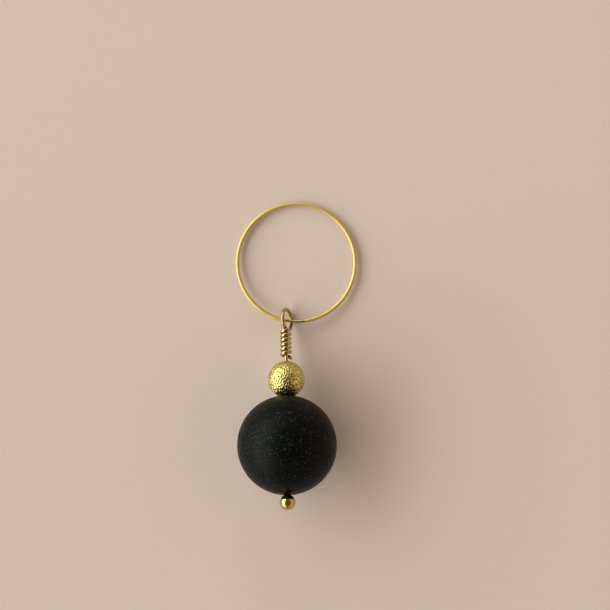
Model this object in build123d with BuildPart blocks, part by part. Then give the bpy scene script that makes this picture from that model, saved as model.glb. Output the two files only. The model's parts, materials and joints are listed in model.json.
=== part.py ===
# Stitch marker: a closed wire hoop for a knitting needle, with a beaded charm that swings on it.
# The charm is one head pin. It carries a stone bead and a small sanded metal bead, and its wire is
# turned into an eye round the hoop and wrapped back down its own shank.
# The marker lies on a surface at z = 0, as it is put down: the stone and the low side of the eye
# touch the surface, and the hoop rests on the eye and on its own far side.
# Units are millimetres. +Z is up, and the origin is on the surface, in the middle of the marker's box.
import os
from math import asin, atan2, cos, degrees, dist, hypot, pi, radians, sin, sqrt

from build123d import *

os.makedirs("parts", exist_ok=True)

# Hoop: a hollow tube, closed by a thinner wire that is soldered in one end and plugs in the other
hoop_outer_d = 20.0
tube_d = 0.65
tube_bore_d = 0.45
closing_fit = 0.015
closure_gap = 3.6
closing_pin_hold = 2.4
closing_pin_rounding = 0.08
mouth_rounding = 0.05
eye_from_solder = 0.7
hoop_turn = 8.6

# Head pin, with its eye, its wraps and the cut end of its wire
wire_d = 0.6
eye_inner_d = 2.5
eye_lean = 70.0
eye_clearance = 0.09
eye_seat_offset = 0.33
neck_rise = 0.03
wrap_clearance = 0.04
wrap_pitch = 0.75
wrap_turns = 5.72
tail_turns = 0.19
tail_drop = 0.5
tail_flare = 0.15
charm_turn = 0.8

# Stone bead
stone_d = 16.0
stone_hole_d = 0.93
stone_hole_chamfer = 0.2

# Sanded metal bead, a hollow shell whose two holes are drawn inwards
sanded_d = 6.0
sanded_wall = 0.3
sanded_hole_d = 1.2
sanded_neck = 0.6
sanded_lip = 0.2
bead_gap = 0.04
bead_play = 0.5

# Ball at the foot of the pin, drilled and brazed on
ball_d = 2.5
ball_gap = 0.25
ball_hole_depth = 1.1
braze_gap = 0.02

# Counts, angles and shares of how the wire is bent
full_turn = 360.0
quarters = 4
eye_arcs = 4
arc_samples = 12
hoop_samples = 180
eye_leave_angle = -42.0
eye_aside_share = 0.7
tail_way_shares = (0.45, 0.12, 0.88)
half_share = 1 / 2
tiny_share = 0.001

# Sizes that follow
wire_r = wire_d / 2
tube_r = tube_d / 2
tube_bore_r = tube_bore_d / 2
closing_pin_r = tube_bore_r - closing_fit
hoop_r = hoop_outer_d / 2 - tube_r
eye_r = eye_inner_d / 2 + wire_r
wrap_r = wire_d + wrap_clearance
stone_r = stone_d / 2
stone_rim_r = stone_hole_d / 2 + stone_hole_chamfer
stone_rim = sqrt(stone_r**2 - stone_rim_r**2)
sanded_r = sanded_d / 2
sanded_rim_r = sanded_hole_d / 2 + sanded_lip
sanded_rim = sqrt(sanded_r**2 - sanded_rim_r**2)
ball_r = ball_d / 2

# Stations along the pin, from the stone's centre towards the eye
seat_r = max(stone_rim_r, sanded_rim_r)
sanded_at = sqrt(stone_r**2 - seat_r**2) + sqrt(sanded_r**2 - seat_r**2) + bead_gap
around_share, out_share, down_share = tail_way_shares
tail_slant_share = hypot(around_share, out_share) / hypot(around_share, out_share, down_share)
tail_end_at = sanded_at + sanded_rim + bead_play + wire_r * tail_slant_share
wrap_end_at = tail_end_at + tail_drop
wrap_start_at = wrap_end_at + wrap_turns * wrap_pitch
neck_at = wrap_start_at - wrap_pitch / quarters + neck_rise
eye_at = neck_at + sqrt((eye_r + wrap_r) ** 2 - wrap_r**2)
hoop_seat_at = eye_at - eye_seat_offset
ball_at = -(stone_rim + sqrt(ball_r**2 - stone_rim_r**2) + ball_gap)
foot_at = ball_at + ball_r - ball_hole_depth + braze_gap


# The head pin's centreline is worked out in the pin's own frame: the origin is the stone's centre,
# z runs up the pin to the eye, and x lies in the plane of the eye, towards its low side.
# The shank bends to -x, goes round the eye, and comes back past the shank on its -y side.
def eye_route(travel):
    turn = radians(eye_start_angle + (eye_leave_angle - eye_start_angle) * travel)
    aside = wrap_r * eye_aside_share * travel**2 * (3 - 2 * travel)
    return Vector(eye_r * cos(turn), -aside, eye_at + eye_r * sin(turn))


def wrap_route(turns):
    return outward(turns) * wrap_r + Vector(0, 0, wrap_start_at - wrap_pitch * turns)


def outward(turns):
    return Vector(-sin(2 * pi * turns), -cos(2 * pi * turns), 0)


def onward(turns):
    return Vector(-cos(2 * pi * turns), sin(2 * pi * turns), 0)


def heading(route, travel):
    return (route(travel + tiny_share) - route(travel - tiny_share)).normalized()


# Two arcs between two stations, tangent to both headings and to each other.
# Each arc is given by its start, the corner where its end tangents meet, and its end.
def biarc(start, start_way, end, end_way):
    span = end - start
    along = span.dot(start_way + end_way)
    spread = 2 * (1 - start_way.dot(end_way))
    reach = (sqrt(along**2 + spread * span.dot(span)) - along) / spread
    first_corner = start + start_way * reach
    last_corner = end - end_way * reach
    joint = (first_corner + last_corner) * half_share
    return [(start, first_corner, joint), (joint, last_corner, end)]


def on_arc(arc, share):
    start, corner, end = arc
    weight = (end - start).length / ((corner - start).length + (end - corner).length)
    near, far = (1 - share) ** 2, share**2
    mid = 2 * share * (1 - share) * weight
    return (start * near + corner * mid + end * far) * (1 / (near + mid + far))


def arc_radius(arc):
    start, corner, end = arc
    chord = (end - start).length / 2
    side = (corner - start).length
    return chord * side / sqrt(side**2 - chord**2)


eye_start_angle = degrees(pi + atan2(eye_at - neck_at, wrap_r))
foot = Vector(0, 0, foot_at)
neck = Vector(0, 0, neck_at)
stations = [(neck, Vector(0, 0, 1))]
for step in range(eye_arcs + 1):
    travel = step / eye_arcs
    stations.append((eye_route(travel), heading(eye_route, travel)))
wrap_steps = round(wrap_turns * quarters)
for step in range(wrap_steps + 1):
    turns = wrap_turns * step / wrap_steps
    stations.append((wrap_route(turns), heading(wrap_route, turns)))
end_turns = wrap_turns + tail_turns
tail_end = outward(end_turns) * (wrap_r + tail_flare) + Vector(0, 0, tail_end_at)
tail_way = onward(end_turns) * around_share + outward(end_turns) * out_share
tail_way = (tail_way - Vector(0, 0, down_share)).normalized()
stations.append((tail_end, tail_way))

wire_arcs = []
for (start, start_way), (end, end_way) in zip(stations, stations[1:]):
    wire_arcs += biarc(start, start_way, end, end_way)
wire_points = [on_arc(arc, step / arc_samples) for arc in wire_arcs for step in range(arc_samples)]


# How the charm lies: the pin slopes down from the stone until a point of the wire meets the surface
def height_over_axis(point):
    return -point.X * sin(radians(eye_lean)) - point.Y * cos(radians(eye_lean))


def slope_to_surface(point):
    rise = height_over_axis(point)
    return asin((stone_r - wire_r) / hypot(point.Z, rise)) + atan2(rise, point.Z)


slope = min(slope_to_surface(point) for point in wire_points)
side_way = Vector(cos(radians(charm_turn)), sin(radians(charm_turn)), 0)
pin_way = Vector(-sin(radians(charm_turn)), cos(radians(charm_turn)), 0) * cos(slope)
pin_way = pin_way - Vector(0, 0, sin(slope))
over_way = side_way.cross(pin_way)
low_way = side_way * cos(radians(eye_lean)) - over_way * sin(radians(eye_lean))
pin_plane = Plane(origin=(0, 0, stone_r), x_dir=low_way, z_dir=pin_way)

# How the hoop lies: its wire rests across the low side of the eye, and its far side on the surface
seat = pin_plane.from_local_coords(Vector(0, 0, hoop_seat_at))
seat = seat + side_way * (wrap_r * sin(radians(eye_lean)) * half_share)
inward = Vector(sin(radians(hoop_turn)), cos(radians(hoop_turn)), 0)
hoop_way = Vector(cos(radians(hoop_turn)), -sin(radians(hoop_turn)), 0)
keep_off = closing_pin_r + wire_r + eye_clearance
seat_height = 0
for point in wire_points:
    placed = pin_plane.from_local_coords(point)
    level = (placed - seat).dot(inward)
    if abs(level) < keep_off and point.X > 0 and point.Z > wrap_start_at:
        seat_height = max(seat_height, placed.Z + sqrt(keep_off**2 - level**2))
hoop_tilt = asin((seat_height - tube_r) / (2 * hoop_r))
hoop_inward = inward * cos(hoop_tilt) - Vector(0, 0, sin(hoop_tilt))
seat = Vector(seat.X, seat.Y, seat_height)
hoop_plane = Plane(origin=seat + hoop_inward * hoop_r, x_dir=hoop_way, z_dir=hoop_way.cross(hoop_inward))


# The origin moves to the middle of the marker's box
def on_hoop(angle):
    return hoop_plane.from_local_coords(Vector(cos(radians(angle)), sin(radians(angle)), 0) * hoop_r)


reach = [(on_hoop(full_turn * step / hoop_samples), tube_r) for step in range(hoop_samples)]
reach.append((pin_plane.origin, stone_r))
reach.append((pin_plane.from_local_coords(Vector(0, 0, ball_at)), ball_r))
reach += [(pin_plane.from_local_coords(point), wire_r) for point in wire_points]
middle_x = (min(p.X - r for p, r in reach) + max(p.X + r for p, r in reach)) / 2
middle_y = (min(p.Y - r for p, r in reach) + max(p.Y + r for p, r in reach)) / 2
shift = Vector(-middle_x, -middle_y, 0)
pin_plane = Plane(origin=pin_plane.origin + shift, x_dir=low_way, z_dir=pin_way)
hoop_plane = Plane(origin=hoop_plane.origin + shift, x_dir=hoop_way, z_dir=hoop_plane.z_dir)
seat = seat + shift
pin_axis = Axis(pin_plane.origin, pin_plane.z_dir)
hoop_axis = Axis(hoop_plane.origin, hoop_plane.z_dir)
# Profiles of what is turned about the pin: x is the radius and y runs up the pin
turning_plane = Plane(origin=pin_plane.origin, x_dir=pin_plane.x_dir, z_dir=pin_plane.y_dir * -1)


# Hoop: angles round it are measured from its own x, and the eye hangs at the bottom of the circle
def arc_angle(length):
    return degrees(length / hoop_r)


def hoop_section(angle):
    middle = Vector(cos(radians(angle)), sin(radians(angle)), 0)
    origin = hoop_plane.from_local_coords(middle * hoop_r)
    radial = hoop_plane.from_local_coords(middle) - hoop_plane.origin
    return Plane(origin=origin, x_dir=radial, z_dir=radial.cross(hoop_plane.z_dir))


eye_angle = -90.0
solder_angle = eye_angle - arc_angle(eye_from_solder)
mouth_angle = solder_angle + arc_angle(closure_gap)

with BuildPart() as hoop_tube:
    with BuildSketch(hoop_section(mouth_angle)):
        Circle(tube_r)
        Circle(tube_bore_r, mode=Mode.SUBTRACT)
    revolve(axis=hoop_axis, revolution_arc=full_turn - arc_angle(closure_gap))
    rims = hoop_tube.edges().filter_by(GeomType.CIRCLE).group_by(SortBy.RADIUS)
    fillet(rims[1], mouth_rounding)

with BuildPart() as hoop_pin:
    with BuildSketch(hoop_section(solder_angle - arc_angle(closing_pin_hold))):
        Circle(closing_pin_r)
    revolve(axis=hoop_axis, revolution_arc=arc_angle(closure_gap + 2 * closing_pin_hold))
    tips = hoop_pin.edges().filter_by(GeomType.CIRCLE).group_by(SortBy.RADIUS)
    fillet(tips[0], closing_pin_rounding)

# Head pin: one wire, swept along the shank, the eye, the wraps and the cut end
with BuildPart() as head_pin:
    with BuildLine() as wire_line:
        Line(pin_plane.from_local_coords(foot), pin_plane.from_local_coords(neck))
        for arc in wire_arcs:
            ThreePointArc([pin_plane.from_local_coords(on_arc(arc, at)) for at in (0, half_share, 1)])
    with BuildSketch(Plane(origin=pin_plane.from_local_coords(foot), z_dir=pin_plane.z_dir)):
        Circle(wire_r)
    sweep(path=wire_line.line)

# Ball: brazed on the foot of the wire
with BuildPart() as head_ball:
    with BuildSketch(turning_plane):
        with BuildLine():
            hole_r = wire_r + braze_gap
            rim_at = ball_at + sqrt(ball_r**2 - hole_r**2)
            floor_at = ball_at + ball_r - ball_hole_depth
            foot_of_ball = (0, ball_at - ball_r)
            RadiusArc(foot_of_ball, (ball_r, ball_at), -ball_r)
            RadiusArc((ball_r, ball_at), (hole_r, rim_at), -ball_r)
            Polyline((hole_r, rim_at), (hole_r, floor_at), (0, floor_at), foot_of_ball)
        make_face()
    revolve(axis=pin_axis)

# Stone bead: drilled through, with a chamfer at each end of the hole
with BuildPart() as stone_bead:
    with BuildSketch(turning_plane):
        with BuildLine():
            stone_hole_r = stone_hole_d / 2
            bore_end = stone_rim - stone_hole_chamfer
            ThreePointArc((stone_rim_r, -stone_rim), (stone_r, 0), (stone_rim_r, stone_rim))
            Polyline(
                (stone_rim_r, stone_rim),
                (stone_hole_r, bore_end),
                (stone_hole_r, -bore_end),
                (stone_rim_r, -stone_rim),
            )
        make_face()
    revolve(axis=pin_axis)

# Sanded bead: a shell, with a rounded lip and a short neck at each hole
with BuildPart() as sanded_bead:
    with BuildSketch(turning_plane) as shell:
        with Locations((0, sanded_at)):
            Circle(sanded_r)
            Circle(sanded_r - sanded_wall, mode=Mode.SUBTRACT)
            sanded_hole_r = sanded_hole_d / 2
            neck_x = sanded_hole_r + sanded_wall / 2
            neck_y = sanded_r - sanded_neck / 2
        with Locations((neck_x, sanded_at + neck_y), (neck_x, sanded_at - neck_y)):
            Rectangle(sanded_wall, sanded_neck)
        with Locations((0, sanded_at)):
            Circle(sanded_r, mode=Mode.INTERSECT)
            Rectangle(2 * sanded_hole_r, sanded_d, mode=Mode.SUBTRACT)
            left_x = -(sanded_r + sanded_hole_r) / 2
        with Locations((left_x, sanded_at)):
            Rectangle(sanded_r - sanded_hole_r, sanded_d, mode=Mode.SUBTRACT)
        lips = vertices().group_by(Axis.X)[0].sort_by(Axis.Y)
        fillet([lips[0], lips[-1]], sanded_lip)
    revolve(axis=pin_axis)

for name, piece in (
    ("hoop_tube", hoop_tube),
    ("hoop_pin", hoop_pin),
    ("head_pin", head_pin),
    ("head_ball", head_ball),
    ("stone_bead", stone_bead),
    ("sanded_bead", sanded_bead),
):
    piece.part.label = name
    export_step(piece.part, f"parts/{name}.step")

# What the wire measures: its tightest bend, its length and its least gap to itself
run_step = wire_d / arc_samples
shank = [tuple(neck - Vector(0, 0, 1) * run_step * k) for k in range(int(neck_at / run_step), 0, -1)]
line_points = shank + [tuple(point) for point in wire_points] + [tuple(tail_end)]
walked = [0]
for here, there in zip(line_points, line_points[1:]):
    walked.append(walked[-1] + dist(here, there))
least_gap = wire_d * wrap_turns
for i, here in enumerate(line_points):
    for j in range(i + 1, len(line_points)):
        if walked[j] - walked[i] > 2 * wire_d and abs(here[2] - line_points[j][2]) < 2 * wire_d:
            least_gap = min(least_gap, dist(here, line_points[j]) - wire_d)
print("least gap of the wire to itself", round(least_gap, 3))
print("least gap between wraps", round(wrap_pitch - wire_d, 3))
print("tightest bend", round(min(arc_radius(arc) for arc in wire_arcs), 3))
print("wire length", round((neck - foot).length + walked[-1] - walked[len(shank)], 2))
print("slope of the pin", round(degrees(slope), 2), "tilt of the hoop", round(degrees(hoop_tilt), 2))
print("swing axis at", tuple(seat), "along", tuple(hoop_way))
print("pin axis through", tuple(pin_plane.origin), "along", tuple(pin_way))
print("hoop centre", tuple(hoop_plane.origin), "axis", tuple(hoop_plane.z_dir))
print("beads slide from", -ball_gap, "to", bead_play)
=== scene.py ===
import json
import math
import random

import bpy
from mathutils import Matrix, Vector, kdtree, noise


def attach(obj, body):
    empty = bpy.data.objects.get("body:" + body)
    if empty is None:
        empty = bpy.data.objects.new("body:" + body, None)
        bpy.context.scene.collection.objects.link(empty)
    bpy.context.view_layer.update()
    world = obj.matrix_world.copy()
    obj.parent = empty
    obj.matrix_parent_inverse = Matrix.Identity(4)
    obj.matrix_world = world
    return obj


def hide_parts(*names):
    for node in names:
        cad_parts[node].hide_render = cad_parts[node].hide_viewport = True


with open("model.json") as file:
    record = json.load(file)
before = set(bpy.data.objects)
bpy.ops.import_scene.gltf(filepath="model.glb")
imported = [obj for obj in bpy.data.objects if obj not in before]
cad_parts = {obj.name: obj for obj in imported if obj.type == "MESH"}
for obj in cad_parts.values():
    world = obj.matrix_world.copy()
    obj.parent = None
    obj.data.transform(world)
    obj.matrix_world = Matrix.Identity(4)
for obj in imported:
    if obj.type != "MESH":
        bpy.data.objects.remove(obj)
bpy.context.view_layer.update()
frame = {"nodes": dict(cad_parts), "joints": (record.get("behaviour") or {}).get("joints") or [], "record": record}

print("frame loaded:", ", ".join(sorted(frame["nodes"])))

# Everything below is written in millimetres and turned to metres as the meshes are made
mm = 0.001
perMm = 1 / mm
joints = {joint["name"]: joint for joint in frame["joints"]}


# Small helpers

def toLinear(hexColour):
    channels = [int(hexColour[i:i + 2], 16) / 255 for i in (1, 3, 5)]
    linear = [c / 12.92 if c <= 0.04045 else ((c + 0.055) / 1.055) ** 2.4 for c in channels]
    return (*linear, 1.0)


def addNode(tree, kind, inputs=None, **settings):
    node = tree.nodes.new(kind)
    for name, value in settings.items():
        setattr(node, name, value)
    for name, value in (inputs or {}).items():
        if isinstance(value, bpy.types.NodeSocket):
            tree.links.new(value, node.inputs[name])
        else:
            node.inputs[name].default_value = value
    return node


def newMaterial(name):
    material = bpy.data.materials.new(name)
    material.use_nodes = True
    tree = material.node_tree
    tree.nodes.clear()
    return material, tree


def finishMaterial(tree, shader):
    addNode(tree, "ShaderNodeOutputMaterial", {"Surface": shader.outputs[0]})


def circle(centre, xWay, yWay, radius, sides):
    turns = [math.tau * k / sides for k in range(sides)]
    return [centre + (xWay * math.cos(t) + yWay * math.sin(t)) * radius for t in turns]


# Rings of points become one skin; a ring of a single point is a closed tip
def ringMesh(name, rings, closed=False):
    starts, points = [], []
    for ring in rings:
        starts.append(len(points))
        points += ring
    pairs = [(i, i + 1) for i in range(len(rings) - 1)]
    if closed:
        pairs.append((len(rings) - 1, 0))
    faces = []
    for a, b in pairs:
        sides = max(len(rings[a]), len(rings[b]))
        for k in range(sides):
            near = [starts[a] + j % len(rings[a]) for j in (k, k + 1)]
            far = [starts[b] + j % len(rings[b]) for j in (k + 1, k)]
            faces.append(list(dict.fromkeys(near + far)))
    mesh = bpy.data.meshes.new(name)
    mesh.from_pydata([point * mm for point in points], [], faces)
    mesh.shade_smooth()
    piece = bpy.data.objects.new(name, mesh)
    bpy.context.scene.collection.objects.link(piece)
    return piece


# Where each point would be if the wire were pulled straight: drawing marks run along it
def keepStraight(piece, straightRings):
    straight = piece.data.attributes.new("straight", "FLOAT_VECTOR", "POINT")
    points = [point for ring in straightRings for point in ring]
    straight.data.foreach_set("vector", [x for point in points for x in point])


def dress(piece, material, body, slotName, *nodes):
    piece.data.materials.append(material)
    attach(piece, body)
    if nodes:
        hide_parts(*nodes)


# The charm's own axes: z up the pin from the stone's middle, x towards the low side of the eye

charm = {
    "eyeLean": 70,
    "wireDiameter": 0.6,
}
stoneCentre = Vector(joints["stone_spin"]["pos_m"]) * perMm
pinWay = Vector(joints["stone_spin"]["axis"]).normalized()
sideWay = Vector((pinWay.y, -pinWay.x, 0)).normalized()
overWay = sideWay.cross(pinWay)
lean = math.radians(charm["eyeLean"])
lowWay = sideWay * math.cos(lean) - overWay * math.sin(lean)
backWay = pinWay.cross(lowWay)
wireR = charm["wireDiameter"] / 2


def onCharm(point):
    return stoneCentre + lowWay * point.x + backWay * point.y + pinWay * point.z


# Rings about the pin, from pairs of a height up the pin and a radius
def turnedRings(profile, sides):
    rings = []
    for height, radius in profile:
        centre = stoneCentre + pinWay * height
        rings.append(circle(centre, lowWay, backWay, radius, sides) if radius > 0 else [centre])
    return rings


def spherePoints(middle, radius, fromAngle, toAngle, rows):
    angles = [math.radians(fromAngle + (toAngle - fromAngle) * i / rows) for i in range(rows + 1)]
    return [(middle + radius * math.sin(a), radius * math.cos(a)) for a in angles]


def straightRing(length, radius, sides):
    return circle(Vector((0, 0, length)), Vector((1, 0, 0)), Vector((0, 1, 0)), radius, sides)


def steps(start, end, largest):
    count = max(1, math.ceil(abs(end - start) / largest))
    return [start + (end - start) * i / count for i in range(count + 1)]


# Stone bead: the drilled edge has tiny chips, as stone has

stone = {
    "diameter": 16.0,
    "hole": 0.93,
    "chamfer": 0.2,
    "chipDepth": 0.14,
    "chipSpread": 0.25,
    "chipDrop": 0.4,
    "sides": 192,
    "rows": 96,
}
stoneR = stone["diameter"] / 2
stoneRimR = stone["hole"] / 2 + stone["chamfer"]
stoneRim = math.sqrt(stoneR**2 - stoneRimR**2)


# Matte black stone such as agate, tumbled with grit to a frosted skin: nearly black, with a
# broad dull sheen and no clear reflections
def frostedStone():
    material, tree = newMaterial("frostedStone")
    place = addNode(tree, "ShaderNodeTexCoord")
    cloudMm, frostMm, fleckMm = 1.1, 0.16, 0.3
    cloudPull = 0.35
    cloud = addNode(tree, "ShaderNodeTexNoise", {
        "Vector": place.outputs["Object"], "Scale": perMm / cloudMm, "Detail": 4.0,
        "Roughness": 0.6,
    })
    frost = addNode(tree, "ShaderNodeTexNoise", {
        "Vector": place.outputs["Object"], "Scale": perMm / frostMm, "Detail": 4.0,
        "Roughness": 0.7,
    })
    # Small grey flecks, gathered where the cloud is thick
    flecks = addNode(tree, "ShaderNodeTexNoise", {
        "Vector": place.outputs["Object"], "Scale": perMm / fleckMm, "Detail": 2.0,
        "Distortion": 0.4,
    })
    gather = addNode(tree, "ShaderNodeMath", {
        0: cloud.outputs["Fac"], 1: cloudPull, 2: flecks.outputs["Fac"],
    }, operation="MULTIPLY_ADD")
    fleck = addNode(tree, "ShaderNodeMapRange", {
        "Value": gather.outputs[0], "From Min": 0.73, "From Max": 0.92,
        "To Min": 0.0, "To Max": 1.0,
    }, interpolation_type="SMOOTHSTEP")
    ground = addNode(tree, "ShaderNodeMix", {
        0: cloud.outputs["Fac"], 6: toLinear("#010202"), 7: toLinear("#080e0d"),
    }, data_type="RGBA")
    colour = addNode(tree, "ShaderNodeMix", {
        0: fleck.outputs[0], 6: ground.outputs[2], 7: toLinear("#2e3735"),
    }, data_type="RGBA")
    rough = addNode(tree, "ShaderNodeMapRange", {
        "Value": cloud.outputs["Fac"], "From Min": 0.3, "From Max": 0.7,
        "To Min": 0.38, "To Max": 0.48,
    })
    pits = addNode(tree, "ShaderNodeMath", {
        0: frost.outputs["Fac"], 1: fleck.outputs[0],
    }, operation="SUBTRACT")
    bump = addNode(tree, "ShaderNodeBump", {
        "Height": pits.outputs[0], "Strength": 0.7, "Distance": 0.02 * mm,
    })
    shader = addNode(tree, "ShaderNodeBsdfPrincipled", {
        "Base Color": colour.outputs[2], "Roughness": rough.outputs[0],
        "IOR": 1.54, "Specular IOR Level": 0.07, "Normal": bump.outputs[0],
    })
    finishMaterial(tree, shader)
    return material


def makeStoneBead():
    boreR = stone["hole"] / 2
    rimAngle = math.degrees(math.acos(stoneRimR / stoneR))
    outer = spherePoints(0, stoneR, -rimAngle, rimAngle, stone["rows"])
    boreEnd = stoneRim - stone["chamfer"]
    inner = [(boreEnd, boreR), (boreEnd / 3, boreR), (-boreEnd / 3, boreR), (-boreEnd, boreR)]
    rings = turnedRings(outer + inner, stone["sides"])
    # The chips widen the outer edge of each chamfer here and there and lower it a little
    for ring in (rings[0], rings[len(outer) - 1]):
        for k, point in enumerate(ring):
            chip = max(0, noise.noise(point / stone["chipSpread"])) * stone["chipDepth"]
            away = point - stoneCentre
            height = away.dot(pinWay)
            aside = (away - pinWay * height).normalized()
            drop = pinWay * math.copysign(chip * stone["chipDrop"], height)
            ring[k] = point + aside * chip - drop
    stoneBead = ringMesh("stoneBead", rings, closed=True)
    dress(stoneBead, frostedStone(), "large_bead", "matte_stone", "stone_bead")


makeStoneBead()
print("stone bead made")


# Sanded bead: a shell with lipped holes, its outside covered with small overlapping dents

sanded = {
    "diameter": 6.0,
    "wall": 0.3,
    "hole": 1.2,
    "neck": 0.6,
    "lip": 0.2,
    "lipFlat": 0.85,
    "lipAngles": (15, 35, 55, 75, 90),
    "rimInset": 0.02,
    "gap": 0.04,
    "play": 0.5,
    "grain": 0.42,
    "packing": 0.87,
    "nudge": 0.45,
    "dent": 0.08,
    "tilt": 0.5,
    "smoothRows": 4,
    "sides": 336,
    "rows": 168,
    "insideRows": 12,
    "seed": 7,
}
sandedR = sanded["diameter"] / 2
sandedRimR = sanded["hole"] / 2 + sanded["lip"]
sandedRim = math.sqrt(sandedR**2 - sandedRimR**2)
seatR = max(stoneRimR, sandedRimR)
sandedAt = math.sqrt(stoneR**2 - seatR**2) + math.sqrt(sandedR**2 - seatR**2) + sanded["gap"]


# Gold plate over a surface struck with a diamond point: every dent has its own small glint.
# Real dents are too fine to show in the render, so they are drawn as coarse as they need to show
def sandedGold():
    material, tree = newMaterial("sandedGold")
    place = addNode(tree, "ShaderNodeTexCoord")
    scuffMm, gritMm = 1.4, 0.09
    scuff = addNode(tree, "ShaderNodeTexNoise", {
        "Vector": place.outputs["Object"], "Scale": perMm / scuffMm, "Detail": 3.0,
    })
    grit = addNode(tree, "ShaderNodeTexNoise", {
        "Vector": place.outputs["Object"], "Scale": perMm / gritMm, "Detail": 2.0,
    })
    depth = addNode(tree, "ShaderNodeAttribute", attribute_name="depth")
    plate = addNode(tree, "ShaderNodeMix", {
        0: scuff.outputs["Fac"], 6: toLinear("#dacd78"), 7: toLinear("#e9df94"),
    }, data_type="RGBA")
    # The ridges are rubbed bright and the bottoms of the dents hold a darker film
    # Painted shade: the bottoms of the dents are painted darker by their depth, and the ridges keep the plate's
    # colour
    colour = addNode(tree, "ShaderNodeMix", {
        0: depth.outputs["Fac"], 6: plate.outputs[2], 7: toLinear("#4e3f1a"),
    }, data_type="RGBA")
    bump = addNode(tree, "ShaderNodeBump", {
        "Height": grit.outputs["Fac"], "Strength": 0.6, "Distance": 0.008 * mm,
    })
    rough = addNode(tree, "ShaderNodeMapRange", {
        "Value": grit.outputs["Fac"], "From Min": 0.3, "From Max": 0.7,
        "To Min": 0.22, "To Max": 0.34,
    })
    shader = addNode(tree, "ShaderNodeBsdfPrincipled", {
        "Base Color": colour.outputs[2], "Metallic": 1.0,
        "Roughness": rough.outputs[0], "Normal": bump.outputs[0],
    })
    finishMaterial(tree, shader)
    return material


# The outside first, then over one lip, down its neck, round the hollow and out at the other lip
def sandedProfile():
    holeR = sanded["hole"] / 2
    lip, wall = sanded["lip"], sanded["wall"]
    rimAngle = math.degrees(math.acos((sandedRimR + sanded["rimInset"]) / sandedR))
    outer = spherePoints(0, sandedR, -rimAngle, rimAngle, sanded["rows"])
    lipRun = []
    for turn in map(math.radians, sanded["lipAngles"]):
        height = sandedRim - lip * sanded["lipFlat"] * (1 - math.cos(turn))
        lipRun.append((height, sandedRimR - lip * math.sin(turn)))
    neckEnd, insideR = sandedR - sanded["neck"], sandedR - wall
    insideAngle = math.degrees(math.acos((holeR + wall) / insideR))
    inside = spherePoints(0, insideR, insideAngle, 0, sanded["insideRows"])
    half = lipRun + [(neckEnd, holeR), (neckEnd, holeR + wall)] + inside
    mirrored = [(-height, radius) for height, radius in reversed(half[:-1])]
    return outer, half + mirrored


# Dents on an even spiral, each nudged, tilted and sized a little differently
def scatterDents():
    random.seed(sanded["seed"])
    dents = round(4 * math.pi * sandedR**2 / (sanded["packing"] * sanded["grain"] ** 2))
    tree = kdtree.KDTree(dents)
    tilts, depths = [], []
    for i in range(dents):
        height = 1 - 2 * (i + 0.5) / dents
        turn = i * math.pi * (3 - math.sqrt(5))
        flat = math.sqrt(1 - height**2)
        seat = Vector((flat * math.cos(turn), flat * math.sin(turn), height)) * sandedR
        nudge = Vector([random.uniform(-1, 1) for axis in range(3)])
        nudge *= sanded["grain"] * sanded["nudge"]
        seat = (seat + nudge).normalized() * sandedR
        tree.insert(seat, i)
        tilts.append(Vector([random.gauss(0, 1) for axis in range(3)]) * sanded["tilt"])
        depths.append(random.uniform(0.5, 1))
    tree.balance()
    print("sanded bead has", dents, "dents")
    return tree, tilts, depths


def makeSandedBead():
    outer, hidden = sandedProfile()
    profile = [(sandedAt + height, radius) for height, radius in outer + hidden]
    rings = turnedRings(profile, sanded["sides"])
    tree, tilts, depths = scatterDents()
    centre = stoneCentre + pinWay * sandedAt
    depthValues = []
    for row, ring in enumerate(rings):
        # The outside runs smooth into its two rims, and nothing past them has dents
        fade = min(1, min(row, len(outer) - 1 - row) / sanded["smoothRows"])
        for k, point in enumerate(ring):
            sunk = 0
            if row < len(outer):
                away = point - centre
                (seat, i, near), (_, _, far) = tree.find_n(away, 2)
                hollow = 1 - min(1, 2 * near / (near + far)) ** 2
                cup = sanded["dent"] * depths[i] + tilts[i].dot(away - seat)
                sunk = fade * max(0, cup * hollow)
                ring[k] = point - away.normalized() * sunk
            # How deep each point sits in its dent, by which the material paints shade into the dents
            depthValues.append(min(1, sunk / sanded["dent"]) ** 2)
    sandedBead = ringMesh("sandedBead", rings, closed=True)
    depth = sandedBead.data.attributes.new("depth", "FLOAT", "POINT")
    depth.data.foreach_set("value", depthValues)
    dress(sandedBead, sandedGold(), "small_bead", "sanded_gold", "sanded_bead")


makeSandedBead()


# Ball, brazed on the foot of the pin

ball = {
    "diameter": 2.5,
    "gap": 0.25,
    "holeDepth": 1.1,
    "brazeGap": 0.02,
    "fillet": 0.12,
    "filletShares": (0.35, 0.65, 0.85, 1),
    "sides": 96,
    "rows": 48,
}
ballR = ball["diameter"] / 2
ballAt = -(stoneRim + math.sqrt(ballR**2 - stoneRimR**2) + ball["gap"])
footAt = ballAt + ballR - ball["holeDepth"] + ball["brazeGap"]


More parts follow.
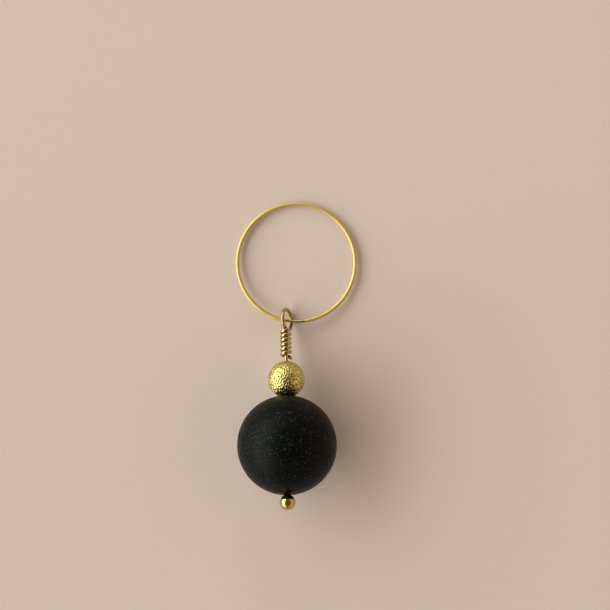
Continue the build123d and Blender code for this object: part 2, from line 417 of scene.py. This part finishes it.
# Gold plate on a turned ball, mirror polished: sharp reflections with a few hairlines
def mirrorGold():
    material, tree = newMaterial("mirrorGold")
    place = addNode(tree, "ShaderNodeTexCoord")
    hairlineMm, hazeMm = 0.9, 0.8
    haze = addNode(tree, "ShaderNodeTexNoise", {
        "Vector": place.outputs["Object"], "Scale": perMm / hazeMm, "Detail": 4.0,
        "Distortion": 0.6,
    })
    hairlines = addNode(tree, "ShaderNodeTexVoronoi", {
        "Vector": place.outputs["Object"], "Scale": perMm / hairlineMm,
    }, feature="DISTANCE_TO_EDGE")
    scratch = addNode(tree, "ShaderNodeMapRange", {
        "Value": hairlines.outputs["Distance"], "From Min": 0.0, "From Max": 0.012,
        "To Min": 0.0, "To Max": 1.0,
    })
    colour = addNode(tree, "ShaderNodeMix", {
        0: haze.outputs["Fac"], 6: toLinear("#bca957"), 7: toLinear("#d0bf72"),
    }, data_type="RGBA")
    rough = addNode(tree, "ShaderNodeMapRange", {
        "Value": haze.outputs["Fac"], "From Min": 0.3, "From Max": 0.7,
        "To Min": 0.07, "To Max": 0.13,
    })
    bump = addNode(tree, "ShaderNodeBump", {
        "Height": scratch.outputs[0], "Strength": 0.25, "Distance": 0.002 * mm,
    })
    shader = addNode(tree, "ShaderNodeBsdfPrincipled", {
        "Base Color": colour.outputs[2], "Metallic": 1.0,
        "Roughness": rough.outputs[0], "Normal": bump.outputs[0],
    })
    finishMaterial(tree, shader)
    return material


def makeHeadBall():
    holeR = wireR + ball["brazeGap"]
    fillet = ball["fillet"]
    filletR = holeR + fillet
    topAngle = math.degrees(math.acos(filletR / ballR))
    profile = spherePoints(ballAt, ballR, -90, topAngle, ball["rows"])
    profile[0] = (ballAt - ballR, 0)
    rimAt = profile[-1][0]
    # The braze climbs from the ball's edge to the wire in a hollow curve
    for share in ball["filletShares"]:
        profile.append((rimAt + fillet * share**2, filletR - (filletR - wireR) * share))
    floorAt = footAt - ball["brazeGap"]
    profile += [(floorAt, wireR), (floorAt, 0)]
    headBall = ringMesh("headBall", turnedRings(profile, ball["sides"]))
    dress(headBall, mirrorGold(), "charm", "ball_gold", "head_ball")


makeHeadBall()
print("ball made")


# Head pin: one wire, up through the beads, round the eye and back down its own shank in wraps

wire = {
    "eyeInner": 2.5,
    "eyeLeave": -42,
    "eyeAside": 0.7,
    "neckRise": 0.03,
    "wrapClearance": 0.04,
    "wrapPitch": 0.75,
    "wrapTurns": 5.72,
    "tailTurns": 0.19,
    "tailDrop": 0.5,
    "tailFlare": 0.15,
    "tailWay": (0.45, 0.12, 0.88),
    "tailPinch": 0.22,
    "tailThin": 0.7,
    "pinchPower": 1.5,
    "sides": 32,
    "shankStep": 0.5,
    "eyeSpans": 16,
    "spansPerWrap": 4,
    "stepsPerSpan": 12,
    "plierMarks": ((0.22, 1.9, 0.035), (0.5, 0.4, 0.03), (0.74, 5.2, 0.035)),
    "plierLength": 0.35,
    "plierPower": 6,
}
eyeR = wire["eyeInner"] / 2 + wireR
wrapR = charm["wireDiameter"] + wire["wrapClearance"]
aroundShare, outShare, downShare = wire["tailWay"]
slantShare = math.hypot(aroundShare, outShare) / math.hypot(aroundShare, outShare, downShare)
tailEndAt = sandedAt + sandedRim + sanded["play"] + wireR * slantShare
wrapEndAt = tailEndAt + wire["tailDrop"]
wrapStartAt = wrapEndAt + wire["wrapTurns"] * wire["wrapPitch"]
neckAt = wrapStartAt - wire["wrapPitch"] / 4 + wire["neckRise"]
eyeAt = neckAt + math.sqrt((eyeR + wrapR) ** 2 - wrapR**2)


# Gold-filled wire, drawn bright: clear reflections, a little paler than the tube
def brightGoldWire():
    material, tree = newMaterial("brightGoldWire")
    straight = addNode(tree, "ShaderNodeAttribute", attribute_name="straight")
    scratchMm, scratchLengthMm, toneMm = 0.05, 1.6, 1.5
    drawn = addNode(tree, "ShaderNodeVectorMath", {
        0: straight.outputs["Vector"],
        1: (1 / scratchMm, 1 / scratchMm, 1 / scratchLengthMm),
    }, operation="MULTIPLY")
    lines = addNode(tree, "ShaderNodeTexNoise", {
        "Vector": drawn.outputs[0], "Scale": 1.0, "Detail": 3.0,
    })
    tone = addNode(tree, "ShaderNodeTexNoise", {
        "Vector": straight.outputs["Vector"], "Scale": 1 / toneMm, "Detail": 3.0,
    })
    colour = addNode(tree, "ShaderNodeMix", {
        0: tone.outputs["Fac"], 6: toLinear("#a39159"), 7: toLinear("#c5b47b"),
    }, data_type="RGBA")
    rough = addNode(tree, "ShaderNodeMapRange", {
        "Value": lines.outputs["Fac"], "From Min": 0.3, "From Max": 0.75,
        "To Min": 0.1, "To Max": 0.2,
    })
    bump = addNode(tree, "ShaderNodeBump", {
        "Height": lines.outputs["Fac"], "Strength": 0.4, "Distance": 0.003 * mm,
    })
    shader = addNode(tree, "ShaderNodeBsdfPrincipled", {
        "Base Color": colour.outputs[2], "Metallic": 1.0,
        "Roughness": rough.outputs[0], "Normal": bump.outputs[0],
    })
    finishMaterial(tree, shader)
    return material


brightGold = brightGoldWire()


# Once round the eye as travel goes from 0 to 1, leaning aside so that the wire clears its shank
def eyeRoute(travel, startAngle):
    turn = math.radians(startAngle + (wire["eyeLeave"] - startAngle) * travel)
    aside = wrapR * wire["eyeAside"] * travel**2 * (3 - 2 * travel)
    return Vector((eyeR * math.cos(turn), -aside, eyeAt + eyeR * math.sin(turn)))


def outward(turns):
    return Vector((-math.sin(math.tau * turns), -math.cos(math.tau * turns), 0))


def onward(turns):
    return Vector((-math.cos(math.tau * turns), math.sin(math.tau * turns), 0))


def wrapRoute(turns):
    return outward(turns) * wrapR + Vector((0, 0, wrapStartAt - wire["wrapPitch"] * turns))


# The route of the wire: points with the way it heads, closer where it bends
def wireStations():
    small = 0.001
    startAngle = 180 + math.degrees(math.atan2(eyeAt - neckAt, wrapR))
    stations = [(Vector((0, 0, neckAt)), Vector((0, 0, 1)))]
    for i in range(wire["eyeSpans"] + 1):
        travel = i / wire["eyeSpans"]
        way = eyeRoute(travel + small, startAngle) - eyeRoute(travel - small, startAngle)
        stations.append((eyeRoute(travel, startAngle), way.normalized()))
    spans = round(wire["wrapTurns"] * wire["spansPerWrap"])
    for i in range(spans + 1):
        turns = wire["wrapTurns"] * i / spans
        way = wrapRoute(turns + small) - wrapRoute(turns - small)
        stations.append((wrapRoute(turns), way.normalized()))
    endTurns = wire["wrapTurns"] + wire["tailTurns"]
    tailEnd = outward(endTurns) * (wrapR + wire["tailFlare"]) + Vector((0, 0, tailEndAt))
    tailWay = onward(endTurns) * aroundShare + outward(endTurns) * outShare
    tailWay.z -= downShare
    stations.append((tailEnd, tailWay.normalized()))
    return stations


# A smooth span between two stations that keeps the way the wire heads at both
def between(start, startWay, end, endWay, share):
    reach = (end - start).length
    a = (1 + 2 * share) * (1 - share) ** 2
    b = share * (1 - share) ** 2
    c = share**2 * (3 - 2 * share)
    d = share**2 * (share - 1)
    return start * a + startWay * (reach * b) + end * c + endWay * (reach * d)


# How deep the pliers bit, at a length past the eye's start and a turn round the wire
def plierBite(eyeRun, pastStart, turn):
    bite = 0
    for share, facing, depth in wire["plierMarks"]:
        off = (pastStart - share * eyeRun) / wire["plierLength"]
        if abs(off) < 1:
            faced = max(0, math.cos(turn - facing)) ** wire["plierPower"]
            bite += depth * (1 - off**2) ** 2 * faced
    return bite


def makeHeadPin():
    count, sides = wire["stepsPerSpan"], wire["sides"]
    line = [Vector((0, 0, height)) for height in steps(footAt, neckAt, wire["shankStep"])[:-1]]
    eyeStart = len(line)
    eyeEnd = eyeStart + (wire["eyeSpans"] + 1) * count
    stations = wireStations()
    for (start, startWay), (end, endWay) in zip(stations, stations[1:]):
        line += [between(start, startWay, end, endWay, i / count) for i in range(count)]
    line.append(stations[-1][0])
    walked = [0]
    for here, there in zip(line, line[1:]):
        walked.append(walked[-1] + (there - here).length)
    eyeRun = walked[eyeEnd] - walked[eyeStart]

    rings, straightRings = [], []
    xWay = Vector((1, 0, 0))
    for i, point in enumerate(line):
        way = (line[min(i + 1, len(line) - 1)] - line[max(i - 1, 0)]).normalized()
        xWay = (xWay - way * xWay.dot(way)).normalized()
        yWay = way.cross(xWay)
        # Side cutters pinch the last of the wire to a blunt wedge
        leftOver = walked[-1] - walked[i]
        pinch = max(0, 1 - leftOver / wire["tailPinch"])
        thin = 1 - (1 - wire["tailThin"]) * pinch ** wire["pinchPower"]
        ring = []
        for k in range(sides):
            turn = math.tau * k / sides
            radius = wireR - plierBite(eyeRun, walked[i] - walked[eyeStart], turn)
            across = xWay * (radius * math.cos(turn) * thin) + yWay * (radius * math.sin(turn))
            ring.append(onCharm(point + across))
        rings.append(ring)
        straightRings.append(straightRing(walked[i], wireR, sides))
    rings = [[onCharm(line[0])]] + rings + [[onCharm(line[-1])]]
    straightRings = [[Vector((0, 0, 0))]] + straightRings + [[Vector((0, 0, walked[-1]))]]
    headPin = ringMesh("headPin", rings)
    keepStraight(headPin, straightRings)
    dress(headPin, brightGold, "charm", "pin_gold", "head_pin")


makeHeadPin()
print("head pin made")


# Hoop: a tube with a thinner closing wire, soldered in one end and plugged in the other

hoop = {
    "diameter": 20.0,
    "tube": 0.65,
    "bore": 0.45,
    "fit": 0.015,
    "closure": 3.6,
    "hold": 2.4,
    "tipRounding": 0.08,
    "mouthRounding": 0.05,
    "eyeAngle": -90,
    "eyeFromSolder": 0.7,
    "solderRun": 0.3,
    "solderRise": 0.07,
    "solderShares": (0, 0.15, 0.3, 0.5, 0.7, 0.85, 1),
    "wireStep": 0.2,
    "sides": 32,
    "ringAngle": 1.5,
    "boreRingAngle": 4.5,
}


# Gold-filled brass tube, satin polished: a soft, even yellow with faint marks along its length
def satinGoldTube():
    material, tree = newMaterial("satinGoldTube")
    straight = addNode(tree, "ShaderNodeAttribute", attribute_name="straight")
    drawLineMm, drawLengthMm, toneMm = 0.06, 3.0, 2.2
    drawn = addNode(tree, "ShaderNodeVectorMath", {
        0: straight.outputs["Vector"],
        1: (1 / drawLineMm, 1 / drawLineMm, 1 / drawLengthMm),
    }, operation="MULTIPLY")
    lines = addNode(tree, "ShaderNodeTexNoise", {
        "Vector": drawn.outputs[0], "Scale": 1.0, "Detail": 3.0,
    })
    tone = addNode(tree, "ShaderNodeTexNoise", {
        "Vector": straight.outputs["Vector"], "Scale": 1 / toneMm, "Detail": 4.0,
        "Roughness": 0.6,
    })
    colour = addNode(tree, "ShaderNodeMix", {
        0: tone.outputs["Fac"], 6: toLinear("#d5c174"), 7: toLinear("#e3d28e"),
    }, data_type="RGBA")
    rough = addNode(tree, "ShaderNodeMapRange", {
        "Value": lines.outputs["Fac"], "From Min": 0.25, "From Max": 0.75,
        "To Min": 0.5, "To Max": 0.64,
    })
    bump = addNode(tree, "ShaderNodeBump", {
        "Height": lines.outputs["Fac"], "Strength": 0.5, "Distance": 0.006 * mm,
    })
    shader = addNode(tree, "ShaderNodeBsdfPrincipled", {
        "Base Color": colour.outputs[2], "Metallic": 1.0,
        "Roughness": rough.outputs[0], "Normal": bump.outputs[0],
    })
    finishMaterial(tree, shader)
    return material


satinGold = satinGoldTube()
hoopCentre = Vector(frame["record"]["mounts"][0]["pos_m"]) * perMm
hoopAxis = Vector(frame["record"]["mounts"][0]["axis"]).normalized()
hoopX = Vector(joints["charm_swing"]["axis"]).normalized()
hoopY = hoopAxis.cross(hoopX)
tubeR, boreR = hoop["tube"] / 2, hoop["bore"] / 2
hoopR = hoop["diameter"] / 2 - tubeR
closingR = boreR - hoop["fit"]
solderAngle = hoop["eyeAngle"] - math.degrees(hoop["eyeFromSolder"] / hoopR)
mouthAngle = solderAngle + math.degrees(hoop["closure"] / hoopR)


# One ring of the hoop, at a length along it from the mouth
def hoopRing(length, radius):
    angle = math.radians(mouthAngle) + length / hoopR
    outWay = hoopX * math.cos(angle) + hoopY * math.sin(angle)
    onWay = hoopY * math.cos(angle) - hoopX * math.sin(angle)
    return circle(hoopCentre + outWay * hoopR, outWay, onWay.cross(outWay), radius, hoop["sides"])


# The outside from the mouth to the soldered end, then back along the bore
def makeHoopTube():
    tubeLength = math.tau * hoopR - hoop["closure"]
    rounding = hoop["mouthRounding"]
    arcs = [math.radians(a) for a in (0, 22.5, 45, 67.5, 90)]
    mouth = [(rounding * (1 - math.sin(a)), tubeR - rounding * (1 - math.cos(a)))
             for a in reversed(arcs)]
    outerStep = math.radians(hoop["ringAngle"]) * hoopR
    innerStep = math.radians(hoop["boreRingAngle"]) * hoopR
    stations = list(mouth)
    outerLengths = steps(rounding, tubeLength - rounding, outerStep)[1:-1]
    stations += [(length, tubeR) for length in outerLengths]
    stations += [(tubeLength - length, radius) for length, radius in reversed(mouth)]
    stations += [(length, boreR) for length in steps(tubeLength, 0, innerStep)]
    rings = [hoopRing(length, radius) for length, radius in stations]
    tube = ringMesh("hoopTube", rings, closed=True)
    sides = hoop["sides"]
    keepStraight(tube, [straightRing(length, radius, sides) for length, radius in stations])
    dress(tube, satinGold, "hoop", "hoop_gold", "hoop_tube")


def makeClosingWire():
    hold, closure, sides = hoop["hold"], hoop["closure"], hoop["sides"]
    rounding = hoop["tipRounding"]
    arcs = [math.radians(a) for a in (0, 30, 60, 90)]
    tip = [(rounding * (1 - math.sin(a)), closingR - rounding * (1 - math.cos(a)))
           for a in reversed(arcs)]
    start, end = -closure - hold, hold
    stations = [(start, 0)] + [(start + run, radius) for run, radius in reversed(tip)]
    lengths = steps(start + rounding, end - rounding, hoop["wireStep"])[1:-1]
    stations += [(length, closingR) for length in lengths]
    stations += [(end - run, radius) for run, radius in tip] + [(end, 0)]
    rings, straightRings = [], []
    for length, radius in stations:
        if radius > 0:
            rings.append(hoopRing(length, radius))
            straightRings.append(straightRing(length, radius, sides))
        else:
            rings.append([sum(hoopRing(length, closingR), Vector()) / sides])
            straightRings.append([Vector((0, 0, length))])
    closingWire = ringMesh("closingWire", rings)
    keepStraight(closingWire, straightRings)
    dress(closingWire, brightGold, "hoop", "hoop_gold", "hoop_pin")


# Solder runs a little way up the closing wire from the tube's end, in a hollow fillet
def makeSolder():
    run, rise, sides = hoop["solderRun"], hoop["solderRise"], hoop["sides"]
    start = -hoop["closure"]
    stations = [(start + run * share, closingR + rise * (1 - share) ** 2)
                for share in hoop["solderShares"]]
    # Its inner side is hidden within the closing wire
    stations += [(start + run, closingR / 2), (start, closingR / 2)]
    rings = [hoopRing(length, radius) for length, radius in stations]
    solder = ringMesh("solderFillet", rings, closed=True)
    keepStraight(solder, [straightRing(length, radius, sides) for length, radius in stations])
    dress(solder, satinGold, "hoop", "hoop_gold")


makeHoopTube()
makeClosingWire()
makeSolder()
print("hoop made")


# Studio: a plain pale floor in a room with a light wall at the left, dark walls in front and
# behind, a brown one at the right and a dark ceiling over the camera. A wide window is at the
# left and a small panel beyond the hoop. The walls' colours go from left to right

studio = {
    "floorColour": "#dacdc4",
    "floorSize": 20000,
    "walls": (
        (0, "#fff9ee"), (0.2, "#efe4d3"), (0.4, "#675b4d"), (0.7, "#85745d"), (1, "#a8937a"),
    ),
    "ceiling": "#4c4238",
    "ceilingFromDegrees": 33,
    "ceilingWholeDegrees": 50,
    "roomLevel": 2.1,
    "windowAway": 3000,
    "windowBearing": 172,
    "windowClimb": 30,
    "windowSize": (7150, 2425),
    "windowWatts": 116,
    "windowColour": "#fbfdff",
    "sidePlace": (-50, 1200, 480),
    "sideSize": (300, 300),
    "sideWatts": 1.7,
}
camera = {
    "place": (1.416, 7.805, 280.0),
    "frameMm": 36.0,
    "lens": 100.15,
    "clip": (1, 50000),
}


def makeFloor():
    material, tree = newMaterial("matteFloor")
    place = addNode(tree, "ShaderNodeTexCoord")
    fibreMm = 1.2
    fibre = addNode(tree, "ShaderNodeTexNoise", {
        "Vector": place.outputs["Object"], "Scale": perMm / fibreMm, "Detail": 3.0,
    })
    bump = addNode(tree, "ShaderNodeBump", {
        "Height": fibre.outputs["Fac"], "Strength": 0.1, "Distance": 0.02 * mm,
    })
    shader = addNode(tree, "ShaderNodeBsdfPrincipled", {
        "Base Color": toLinear(studio["floorColour"]), "Roughness": 0.9,
        "Specular IOR Level": 0.2, "Normal": bump.outputs[0],
    })
    finishMaterial(tree, shader)
    half = studio["floorSize"] / 2
    corners = ((-half, -half), (half, -half), (half, half), (-half, half))
    mesh = bpy.data.meshes.new("floor")
    mesh.from_pydata([Vector((x, y, 0)) * mm for x, y in corners], [], [(0, 1, 2, 3)])
    mesh.materials.append(material)
    floor = bpy.data.objects.new("floor", mesh)
    bpy.context.scene.collection.objects.link(floor)


def addPanel(name, place, size, watts, colour):
    light = bpy.data.lights.new(name, "AREA")
    light.shape = "RECTANGLE"
    light.size, light.size_y = size[0] * mm, size[1] * mm
    light.energy = watts
    light.color = toLinear(colour)[:3]
    panel = bpy.data.objects.new(name, light)
    panel.location = Vector(place) * mm
    panel.rotation_euler = (-Vector(place)).to_track_quat("-Z", "Y").to_euler()
    panel.visible_camera = False
    bpy.context.scene.collection.objects.link(panel)


def makePanels():
    bearing = math.radians(studio["windowBearing"])
    climb = math.radians(studio["windowClimb"])
    flat, high = math.cos(climb), math.sin(climb)
    windowWay = Vector((math.cos(bearing) * flat, math.sin(bearing) * flat, high))
    windowPlace = windowWay * studio["windowAway"]
    colour = studio["windowColour"]
    addPanel("windowPanel", windowPlace, studio["windowSize"], studio["windowWatts"], colour)
    addPanel("sidePanel", studio["sidePlace"], studio["sideSize"], studio["sideWatts"], colour)


def makeWorld():
    world = bpy.data.worlds.new("lightRoom")
    bpy.context.scene.world = world
    world.use_nodes = True
    tree = world.node_tree
    tree.nodes.clear()
    way = addNode(tree, "ShaderNodeTexCoord")
    parts = addNode(tree, "ShaderNodeSeparateXYZ", {0: way.outputs["Generated"]})
    across = addNode(tree, "ShaderNodeMapRange", {
        "Value": parts.outputs["X"], "From Min": -1.0, "From Max": 1.0,
        "To Min": 0.0, "To Max": 1.0,
    })
    walls = addNode(tree, "ShaderNodeValToRGB", {"Fac": across.outputs[0]})
    stops = walls.color_ramp.elements
    while len(stops) < len(studio["walls"]):
        stops.new(0.5)
    for stop, (share, wallColour) in zip(stops, studio["walls"]):
        stop.position = share
        stop.color = toLinear(wallColour)
    climb = addNode(tree, "ShaderNodeMapRange", {
        "Value": parts.outputs["Z"],
        "From Min": math.sin(math.radians(studio["ceilingFromDegrees"])),
        "From Max": math.sin(math.radians(studio["ceilingWholeDegrees"])),
        "To Min": 0.0, "To Max": 1.0,
    }, interpolation_type="SMOOTHSTEP")
    room = addNode(tree, "ShaderNodeMix", {
        0: climb.outputs[0], 6: walls.outputs[0], 7: toLinear(studio["ceiling"]),
    }, data_type="RGBA")
    glow = addNode(tree, "ShaderNodeBackground", {
        "Color": room.outputs[2], "Strength": studio["roomLevel"],
    })
    addNode(tree, "ShaderNodeOutputWorld", {"Surface": glow.outputs[0]})


def makeCamera():
    data = bpy.data.cameras.new("camera")
    data.sensor_width = camera["frameMm"]
    data.lens = camera["lens"]
    data.clip_start, data.clip_end = (distance * mm for distance in camera["clip"])
    eye = bpy.data.objects.new("camera", data)
    eye.location = Vector(camera["place"]) * mm
    bpy.context.scene.collection.objects.link(eye)
    bpy.context.scene.camera = eye


makeFloor()
makePanels()
makeWorld()
makeCamera()
bpy.context.scene.view_settings.view_transform = "Standard"
print("studio made")
